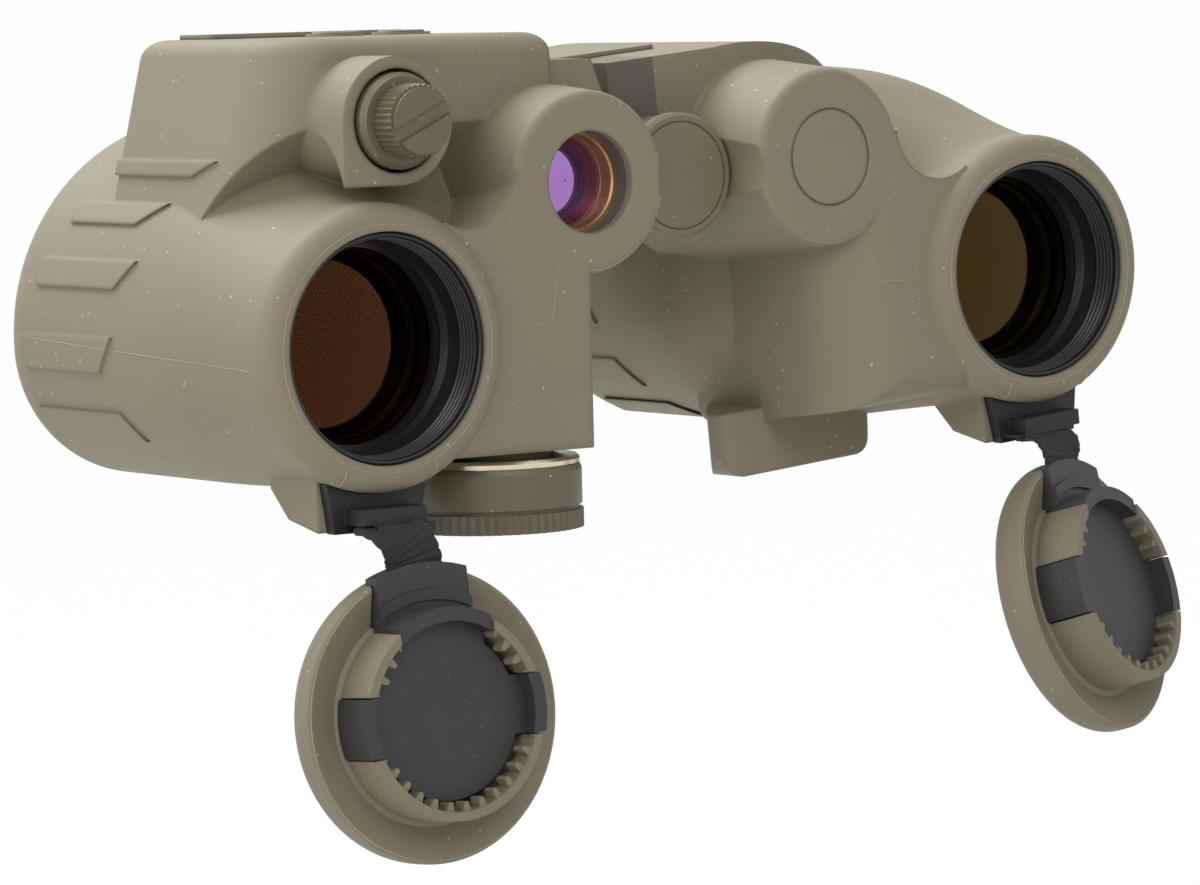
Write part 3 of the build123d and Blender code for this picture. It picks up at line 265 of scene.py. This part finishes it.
HINGE = np.array([-33.8, -38.0, 63.2]) / 1000
FOLD = np.radians(5.2)
OUTWARD = {"left": np.array([1.0, 0, 0]), "right": np.array([-np.cos(FOLD), 0, np.sin(FOLD)])}
UPWARD = {"left": np.array([0, 0, 1.0]), "right": np.array([np.sin(FOLD), 0, np.cos(FOLD)])}
BACKWARD = np.array([0, 1.0, 0])
OBJECTIVE = (76.6, -28.7)
TUBE = (28.6, 0.0)


def half_points(side, u, y, w):
    """Points u out from the hinge, y back from the rims and w up, in millimetres, as points of the object."""
    u, y, w = np.broadcast_arrays(np.asarray(u, float), y, w)
    u, y, w = u[..., None] / 1000, y[..., None] / 1000, w[..., None] / 1000
    return HINGE + u * OUTWARD[side] + y * BACKWARD + w * UPWARD[side]


def lay_grid(name, points, close_rows=False, cap_ends=False):
    """Mesh through a grid of points whose columns close into loops: one face in each cell, one more row
    of faces where the rows close too, and one face over each end loop where the ends are capped."""
    rows, columns = points.shape[:2]
    index = np.arange(rows * columns).reshape(rows, columns)
    ends = [index[0, ::-1].tolist(), index[-1].tolist()] if cap_ends else []
    if close_rows:
        index = np.vstack([index, index[:1]])
    index = np.hstack([index, index[:, :1]])
    faces = np.stack([index[:-1, :-1], index[:-1, 1:], index[1:, 1:], index[1:, :-1]], -1).reshape(-1, 4)
    mesh = bpy.data.meshes.new(name)
    mesh.from_pydata(points.reshape(-1, 3).tolist(), [], faces.tolist() + ends)
    mesh.polygons.foreach_set("use_smooth", np.ones(len(mesh.polygons), bool))
    shell = bmesh.new()
    shell.from_mesh(mesh)
    bmesh.ops.recalc_face_normals(shell, faces=shell.faces)
    shell.to_mesh(mesh)
    shell.free()
    piece = bpy.data.objects.new(name, mesh)
    scene.collection.objects.link(piece)
    return piece


ASKEW = (0.31, 0.17, 0.93)
BEAD_SIDES = 6


def bead_points(path, radius):
    """Round bead along a path: at each point a circle in the plane square to the path. No path may run along
    the askew direction, from which the circles are started."""
    along = np.gradient(path, axis=0)
    along /= np.linalg.norm(along, axis=1)[:, None]
    first = np.cross(along, ASKEW)
    first /= np.linalg.norm(first, axis=1)[:, None]
    second = np.cross(along, first)
    turn = np.linspace(0, 2 * np.pi, BEAD_SIDES, endpoint=False)
    ring = np.cos(turn)[None, :, None] * first[:, None] + np.sin(turn)[None, :, None] * second[:, None]
    return path[:, None] + ring * np.reshape(radius, (-1, 1, 1))


def skin_of(name):
    """Search tree of a CAD node's surface."""
    mesh = node_objects[name].data
    places = np.empty(len(mesh.vertices) * 3, np.float32)
    mesh.vertices.foreach_get("co", places)
    return BVHTree.FromPolygons(places.reshape(-1, 3).tolist(), [tuple(p.vertices) for p in mesh.polygons])


def drop_on(skin, starts, direction):
    """Points where parallel rays from the starts first meet a surface."""
    hits = [skin.ray_cast(Vector(start), Vector(direction))[0] for start in starts]
    return np.array([hit for hit in hits if hit is not None])


AHEAD = -20.0
OUTSIDE = 140.0


def arc_ahead(side, centre, radius, first, last, steps):
    """Arc in front of a half, about an axis that runs back, from a first to a last angle in degrees."""
    turn = np.radians(np.linspace(first, last, steps))
    return half_points(side, centre[0] + radius * np.cos(turn), AHEAD, centre[1] + radius * np.sin(turn))


def line_ahead(side, first, last, steps):
    """Straight row of points in front of a half, between two places (u, w)."""
    u, w = np.linspace(first, last, steps).T
    return half_points(side, u, AHEAD, w)


flash_rubber = grained_finish(
    "mould_flash", (0.31, 0.265, 0.18), (0.4, 0.345, 0.24), rough=0.6, pits=3000.0, relief=0.2,
)


FLASH_WANDER = 0.4


def lay_flash(name, path, thick, body):
    """Thin ragged fin of rubber along a mould's parting line: a bead whose radius wanders along the path, by
    the product of a quick and a slow sine and a third, slower one."""
    step = np.arange(len(path))
    wander = np.sin(step * 1.7) * np.sin(step * 0.37) + 0.6 * np.sin(step * 0.11 + 1.0)
    bead = lay_grid(name, bead_points(path, thick * (1 + FLASH_WANDER * wander)), cap_ends=True)
    bead.data.materials.append(flash_rubber)
    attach(bead, body)


CREST_R, TUBE_EDGE_R = 22.9, 16.7
SLOPE_TOP, SLOPE_FOOT, LEVEL_END = (36.2, -14.9), (38.2, -25.8), (52.5, -27.2)
RIM_SPLITS = ((66.6, -50.0), (86.4, -50.2))
SPLIT_LENGTH = 3.4
for side in ("left", "right"):
    skin, body = skin_of(f"{side}_armour"), f"{side}_barrel"
    crest = arc_ahead(side, OBJECTIVE, CREST_R, 0, 360, 361)
    outer = half_points(side, OUTSIDE, np.linspace(6.0, 88.0, 160), np.linspace(-31.6, -27.8, 160))
    tube_edge = arc_ahead(side, TUBE, TUBE_EDGE_R, 186, 297, 90)
    slope = line_ahead(side, SLOPE_TOP, SLOPE_FOOT, 30)
    level = line_ahead(side, SLOPE_FOOT, LEVEL_END, 40)
    front = np.concatenate([tube_edge, slope[1:], level[1:]])
    lay_flash(f"{side}_crest_flash", drop_on(skin, crest, BACKWARD), thick=0.00011, body=body)
    lay_flash(f"{side}_outer_flash", drop_on(skin, outer, -OUTWARD[side]), thick=0.00009, body=body)
    lay_flash(f"{side}_front_flash", drop_on(skin, front, BACKWARD), thick=0.0001, body=body)
    for number, (u, w) in enumerate(RIM_SPLITS):
        split = line_ahead(side, (u, w), (u, w - SPLIT_LENGTH), 16)
        lay_flash(f"{side}_rim_flash_{number}", drop_on(skin, split, BACKWARD), thick=0.00012, body=body)

# Cast body: magnesium painted in a darker olive, seen between the knuckles and on the hinge deck.
# The rear plates, brackets and prisms are closed in behind it.
cast_paint = grained_finish(
    "cast_paint", (0.105, 0.095, 0.07), (0.13, 0.118, 0.088), rough=0.5, pits=1500.0, relief=0.35,
    specular=0.5,
)
dress(cast_paint, *both("chassis", "rear_cover"))
sheet_metal = grained_finish(
    "sheet_metal", (0.4, 0.4, 0.39), (0.5, 0.5, 0.48), rough=0.35, pits=1200.0, relief=0.1,
    metallic=1.0,
)
dress(sheet_metal, *both("prism_bracket"))

# Objective cells: black anodised barrels screwed into the rims, with a round lip, fine stepped
# ridges that stop stray light, a plain cone and a thread down to the ring that holds the lens.
black_anodised = grained_finish(
    "black_anodised", (0.011, 0.011, 0.012), (0.017, 0.017, 0.018), rough=0.3, pits=2400.0, relief=0.08,
)
dress(black_anodised, *both("lens_retainer", "eyepiece_base", "ocular_tube"))

SHARP_ANGLE = np.radians(40)


def lay_turned(name, side, centre, profile, steps):
    """Turned piece: each (radius, depth) of a closed profile carried once round an axis that runs back, with
    the sharp steps of the profile kept crisp."""
    turn = np.linspace(0, 2 * np.pi, steps, endpoint=False)
    radius, depth = np.asarray(profile, float).T[:, :, None]
    points = half_points(side, centre[0] + radius * np.cos(turn), depth, centre[1] + radius * np.sin(turn))
    piece = lay_grid(name, points, close_rows=True)
    piece.data.set_sharp_from_angle(angle=SHARP_ANGLE)
    return piece


LIP_R, LIP_DEPTH, LIP_WIDE, LIP_TALL = 21.0, 1.25, 0.48, 0.6
RIDGE_R, RIDGE_TAPER, RIDGE_PITCH = 20.52, 0.05, 1.05
CELL_THREAD_R, CELL_THREAD_TALL, CELL_THREAD_PITCH = 19.58, 0.08, 0.5
lip = [
    (LIP_R + LIP_WIDE * np.cos(turn), LIP_DEPTH - LIP_TALL * np.sin(turn))
    for turn in np.linspace(0.0, np.pi, 9)
]
one_ridge = ((0.0, 0.0), (0.12, -0.32), (0.45, -0.32), (0.62, 0.05), (0.95, 0.05))
ridges = [
    (RIDGE_R - RIDGE_TAPER * number + rise, start + run)
    for number, start in enumerate(np.arange(2.0, 6.4, RIDGE_PITCH))
    for run, rise in one_ridge
]
cone = [(20.25, 7.1), (19.75, 9.6), (19.62, 9.8)]
thread = [
    (CELL_THREAD_R - CELL_THREAD_TALL * (1 + np.sin(2 * np.pi * depth / CELL_THREAD_PITCH)), depth)
    for depth in np.linspace(9.9, 12.4, 41)
]
seat = [(19.52, 14.0), (19.52, 23.0), (17.9, 23.0), (17.9, 29.9)]
outside = [(21.4, 29.9), (21.46, 2.0)]
cell_profile = lip + [(20.5, 1.9)] + ridges + cone + thread + seat + outside
for side in ("left", "right"):
    cell = lay_turned(f"{side}_cell_barrel", side, OBJECTIVE, cell_profile, 160)
    cell.data.materials.append(black_anodised)
    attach(cell, f"{side}_barrel")
    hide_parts(f"{side}_objective_cell")


# Objective lenses and prisms: ground optical glass. The coating sends back a brown tint on the
# right half and an amber one on the left, and the black barrel shows in the rest of the lens.
def coated_glass(name, tint):
    """Clear glass whose reflection carries the tint of its coating, with faint smears in its polish."""
    material, tree, shader = start_finish(name)
    smears = use_group(tree, grain_group, Pits_per_metre=900.0)
    tree.links.new(spread(tree, smears.outputs["Cloud"], 0.0, 0.006), shader.inputs["Roughness"])
    shader.inputs["Base Color"].default_value = (0.9, 0.9, 0.88, 1)
    shader.inputs["Transmission Weight"].default_value = 1.0
    shader.inputs["IOR"].default_value = 1.52
    shader.inputs["Specular Tint"].default_value = (*tint, 1)
    return material


brown_coating = coated_glass("brown_coating", (1.0, 0.36, 0.13))
amber_coating = coated_glass("amber_coating", (1.0, 0.6, 0.12))
green_coating = coated_glass("green_coating", (0.45, 0.9, 0.5))
clear_glass = coated_glass("prism_glass", (1.0, 1.0, 1.0))
dress(brown_coating, "right_objective_front_lens", "right_objective_rear_lens")
dress(amber_coating, "left_objective_front_lens", "left_objective_rear_lens")
dress(green_coating, *both("ocular_lenses"))
dress(clear_glass, *both("prism_a", "prism_b"))

# Eyepieces: a black knurled focus ring round each tube, and a soft black rubber eyecup
# stretched over the sliding ocular.
black_ring = grained_finish(
    "black_ring", (0.014, 0.014, 0.014), (0.022, 0.022, 0.022), rough=0.42, pits=2200.0, relief=0.2,
)
dress(black_ring, *both("focus_ring"))
soft_black = grained_finish(
    "soft_black", (0.018, 0.018, 0.018), (0.028, 0.028, 0.027), rough=0.68, pits=1800.0, relief=0.3,
    dust=0.5,
)
dress(soft_black, *both("eyecup"))

# Hinge: a steel pin on brass washers, closed at each end by a turned disc in olive paint.
# The front disc has a flat bare face inside a narrow groove and a rim.
olive_paint = grained_finish(
    "olive_paint", (0.165, 0.142, 0.09), (0.195, 0.168, 0.11), rough=0.46, pits=3200.0, relief=0.3,
    dust=0.6, specular=0.5,
)
dress(olive_paint, "hinge_front_cap", "hinge_rear_cap")
pin_steel = grained_finish(
    "pin_steel", (0.45, 0.45, 0.44), (0.55, 0.55, 0.53), rough=0.25, pits=1500.0, relief=0.1,
    metallic=1.0,
)
dress(pin_steel, "hinge_pin")
turned_brass = grained_finish(
    "turned_brass", (0.6, 0.45, 0.2), (0.7, 0.55, 0.28), rough=0.3, pits=1500.0, relief=0.1,
    metallic=1.0,
)
dress(turned_brass, "hinge_washers", "tripod_bush", "battery_contact")

# Top plates: thin covers of the same moulded rubber, let into the hinge deck of the left half
# and into the top of the electronics box on the right one.
dress(armour_rubber, *both("top_plate"))

# Laser window: a flat lens with a violet coating in a threaded ring of bronze anodised metal,
# and the laser unit behind it.
violet_coating, tree, shader = start_finish("violet_coating")
grain = use_group(tree, grain_group, Pits_per_metre=300.0)
violet = mix_colour(tree, grain.outputs["Cloud"], (0.40, 0.17, 0.46), (0.32, 0.20, 0.52))
tree.links.new(violet, shader.inputs["Base Color"])
tree.links.new(spread(tree, grain.outputs["Cloud"], 0.03, 0.06), shader.inputs["Roughness"])
shader.inputs["Metallic"].default_value = 1.0
dress(violet_coating, "laser_lens")
bronze = grained_finish(
    "bronze_anodised", (0.4, 0.22, 0.1), (0.52, 0.31, 0.15), rough=0.32, pits=1800.0, relief=0.1,
    metallic=0.8,
)
LASER_RING_R, LASER_SEAT_R, LASER_STOP_R = 12.15, 8.6, 8.0
LASER_THREAD_R, LASER_THREAD_TALL, LASER_THREAD_PITCH = 8.83, 0.11, 0.5
mouth = [(9.12, 8.0), (8.9, 8.25)]
thread = [
    (LASER_THREAD_R - LASER_THREAD_TALL * abs(((depth / LASER_THREAD_PITCH) % 1.0) * 2 - 1), depth)
    for depth in np.linspace(8.35, 11.45, 113)
]
seat = [(LASER_SEAT_R, 11.6), (LASER_SEAT_R, 15.0), (LASER_STOP_R, 15.0), (LASER_STOP_R, 17.0)]
outside = [(LASER_RING_R, 17.0), (LASER_RING_R, 8.0)]
ring = lay_turned("laser_thread_ring", "right", TUBE, mouth + thread + seat + outside, 128)
ring.data.materials.append(bronze)
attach(ring, "right_barrel")
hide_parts("laser_lens_ring")
dress(black_anodised, "laser_module", "display_module")

# Buttons and board: two soft push buttons of the armour's rubber in the top of the right half,
# over the switches of a green circuit board.
dress(armour_rubber, "range_button", "mode_button")
board_green = grained_finish(
    "board_green", (0.02, 0.09, 0.03), (0.03, 0.12, 0.05), rough=0.4, pits=800.0, relief=0.1,
)
dress(board_green, "circuit_board")

# Battery: a plain cell under a bare turned collar, closed by a knurled cap in olive paint.
# The front port has the same paint on its knurled screw.
battery_sleeve = grained_finish(
    "battery_sleeve", (0.3, 0.3, 0.31), (0.36, 0.36, 0.37), rough=0.4, pits=900.0, relief=0.05,
)
dress(battery_sleeve, "battery")
bare_collar = grained_finish(
    "bare_collar", (0.62, 0.55, 0.4), (0.75, 0.68, 0.52), rough=0.24, pits=1500.0, relief=0.2,
    metallic=1.0,
)
dress(bare_collar, "battery_collar")
worn_paint = grained_finish(
    "worn_paint", (0.115, 0.098, 0.06), (0.14, 0.12, 0.075), rough=0.42, pits=3000.0, relief=0.3,
    dust=0.6, specular=0.5,
)
dress(worn_paint, "battery_cap", "port_cap")

# Lens caps: an olive rubber dish with a toothed plug, a black moulded insert with the arm,
# and a black clip under each rim that holds the strap. The dish has flash round its edge.
cap_rubber = grained_finish(
    "cap_rubber", (0.2, 0.177, 0.122), (0.23, 0.205, 0.144), rough=0.62, pits=2600.0, relief=0.2,
    dust=0.6, soften=0.0003,
)
dress(cap_rubber, *both("cap_cover"))
black_moulding = grained_finish(
    "black_moulding", (0.03, 0.03, 0.031), (0.044, 0.044, 0.045), rough=0.52, pits=2600.0, relief=0.25,
    dust=0.5, dust_colour=(0.3, 0.29, 0.27), cells=1100.0,
)
dress(black_moulding, *both("cap_insert"))
clip_moulding = grained_finish(
    "clip_moulding", (0.011, 0.011, 0.011), (0.017, 0.017, 0.017), rough=0.5, pits=2600.0, relief=0.25,
    dust=0.5, dust_colour=(0.25, 0.24, 0.22), cells=1100.0, soften=0.0003,
)
dress(clip_moulding, *both("cap_clip"))


def turn_about(vector, axis, degrees):
    """A vector turned about an axis by an angle: its part across the axis goes round by the cosine and sine
    of the angle, and its part along the axis stays."""
    axis, angle = axis / np.linalg.norm(axis), np.radians(degrees)
    sideways = np.cross(axis, vector)
    kept = axis * np.dot(axis, vector) * (1 - np.cos(angle))
    return vector * np.cos(angle) + sideways * np.sin(angle) + kept


# How each cap hangs: its swing, twist and lean in degrees, and the height of the strap's bend.
CAP_HANGS = {"left": (17.4, 21.8, 4.3, -61.55), "right": (5.0, 0.0, 2.7, -62.55)}
BEND_Y = -3.05


def hanging_frame(side):
    """A strap's bend as its cap hangs, the directions across, up and in front of the strap, and the drop from
    the bend to the middle of the cap: the upright strap is swung forward, then twisted about itself."""
    swing, twist, lean, bend_w = CAP_HANGS[side]
    lean = np.radians(lean)
    drop = (OBJECTIVE[1] - bend_w) / np.cos(lean)
    bend = half_points(side, OBJECTIVE[0] - drop * np.sin(lean), BEND_Y, bend_w)
    level = OUTWARD[side] * np.cos(lean) - UPWARD[side] * np.sin(lean)
    swing_axis = -level if side == "left" else level
    upright = UPWARD[side] * np.cos(lean) + OUTWARD[side] * np.sin(lean)
    rising = turn_about(upright, swing_axis, swing)
    facing = turn_about(turn_about(-BACKWARD, swing_axis, swing), rising, twist)
    return bend, np.cross(rising, facing), rising, facing, drop / 1000


CAP_EDGE_R, CAP_EDGE_AHEAD = 0.02665, 0.00092
ARM_AT, ARM_HALF = 90, 24
for side in ("left", "right"):
    bend, across, rising, facing, drop = hanging_frame(side)
    turn = np.linspace(0, 2 * np.pi, 361)[:, None]
    round_cap = np.cos(turn) * across + np.sin(turn) * rising
    edge = bend - rising * drop + facing * CAP_EDGE_AHEAD + CAP_EDGE_R * round_cap
    clear = np.abs(np.degrees(turn[:, 0]) - ARM_AT) > ARM_HALF
    edge = np.roll(edge[clear], -int(np.argmin(clear)), axis=0)
    lay_flash(f"{side}_cap_flash", edge, thick=0.0001, body=f"{side}_cap")

# Cap straps: flat black webbing, woven in cross ribs of slanted stitches. It comes out under
# the lip of the clip and ends in the arm of the cap.
webbing, tree, shader = start_finish("webbing")
grain = use_group(tree, grain_group, Pits_per_metre=1900.0)
threads = mix_colour(tree, grain.outputs["Cloud"], (0.005, 0.005, 0.0047), (0.02, 0.019, 0.0175))
tree.links.new(threads, shader.inputs["Base Color"])
tree.links.new(spread(tree, grain.outputs["Cloud"], 0.68, 0.85), shader.inputs["Roughness"])
shader.inputs["Sheen Weight"].default_value = 0.06
bump = add_node(tree, "ShaderNodeBump", Strength=0.6, Distance=0.0001, Height=grain.outputs["Height"])
tree.links.new(bump.outputs[0], shader.inputs["Normal"])

WEB_WIDTH, WEB_THICK = 12.5, 1.6
RIB_PITCH, STITCH_PITCH, RIB_HEIGHT = 1.35, 0.66, 0.34
STITCH_SLANT, STITCH_DEPTH, RIB_ROUND = 0.5, 0.6, 0.6
CLIP_ACROSS = {"left": OUTWARD["left"], "right": -OUTWARD["right"]}
CLIP_SEAT, CLIP_W = 3.6, -61.95
CLIP_RUN, ARM_RUN, ARM_DROP = 0.0052, 0.0045, 0.0062
WEB_ROWS, FIRST_BENT, LAST_BENT = 120, 45, 105


def band_loop(width, thick, across_steps, edge_steps):
    """Flat band's outline with half round edges, and the outward direction at each point of it."""
    half = width / 2 - thick / 2
    run = np.linspace(-half, half, across_steps)
    turn = np.linspace(-np.pi / 2, np.pi / 2, edge_steps)[1:-1]
    face = np.stack([run, np.full_like(run, -thick / 2), np.zeros_like(run), -np.ones_like(run)], 1)
    end = np.stack([half + thick / 2 * np.cos(turn), thick / 2 * np.sin(turn), np.cos(turn), np.sin(turn)], 1)
    one_half = np.concatenate([face, end])
    loop = np.concatenate([one_half, -one_half])
    return loop[:, :2], loop[:, 2:]


def webbing_points(side, mouth_u, mouth_y):
    """Band carried along a cubic curve from the clip's mouth down to the cap's arm, turning slowly from
    square to the clip to square to the cap. Ribs cross it, and slanted stitches break each rib up."""
    bend, across, rising = hanging_frame(side)[:3]
    start = half_points(side, mouth_u, mouth_y + CLIP_SEAT, CLIP_W)
    finish = bend - rising * ARM_DROP
    controls = np.array([start, start - BACKWARD * CLIP_RUN, finish + rising * ARM_RUN, finish])
    t = np.linspace(0, 1, WEB_ROWS)[:, None]
    basis = np.concatenate([(1 - t) ** 3, 3 * t * (1 - t) ** 2, 3 * t ** 2 * (1 - t), t ** 3], 1)
    line = basis @ controls
    along = np.gradient(line, axis=0)
    along /= np.linalg.norm(along, axis=1)[:, None]
    ease = t * t * (3 - 2 * t)
    wide = CLIP_ACROSS[side] * (1 - ease) + across * ease
    wide -= along * np.sum(along * wide, axis=1)[:, None]
    wide /= np.linalg.norm(wide, axis=1)[:, None]
    thick = np.cross(wide, along)
    core = (WEB_WIDTH - 2 * RIB_HEIGHT, WEB_THICK - 2 * RIB_HEIGHT)
    loop, out = band_loop(*core, across_steps=110, edge_steps=9)
    run = np.concatenate([[0], np.cumsum(np.linalg.norm(np.diff(line, axis=0), axis=1))])[:, None] * 1000
    slant = loop[None, :, 0] / STITCH_PITCH + STITCH_SLANT * run / RIB_PITCH
    rib = np.abs(np.sin(np.pi * run / RIB_PITCH)) ** RIB_ROUND
    stitch = 1 - STITCH_DEPTH + STITCH_DEPTH * np.abs(np.sin(np.pi * slant))
    place = loop[None] + (RIB_HEIGHT * rib * stitch)[..., None] * out[None]
    points = line[:, None] + (wide[:, None] * place[..., :1] + thick[:, None] * place[..., 1:]) / 1000
    return points, run[-1, 0] / 1000, line


for side, mouth_u, mouth_y in (("left", 75.4, 0.32), ("right", 78.6, -2.0)):
    points, length, line = webbing_points(side, mouth_u, mouth_y)
    strap = lay_grid(f"{side}_webbing", points, cap_ends=True)
    strap.data.materials.append(webbing)
    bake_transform(strap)
    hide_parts(f"{side}_cap_strap")
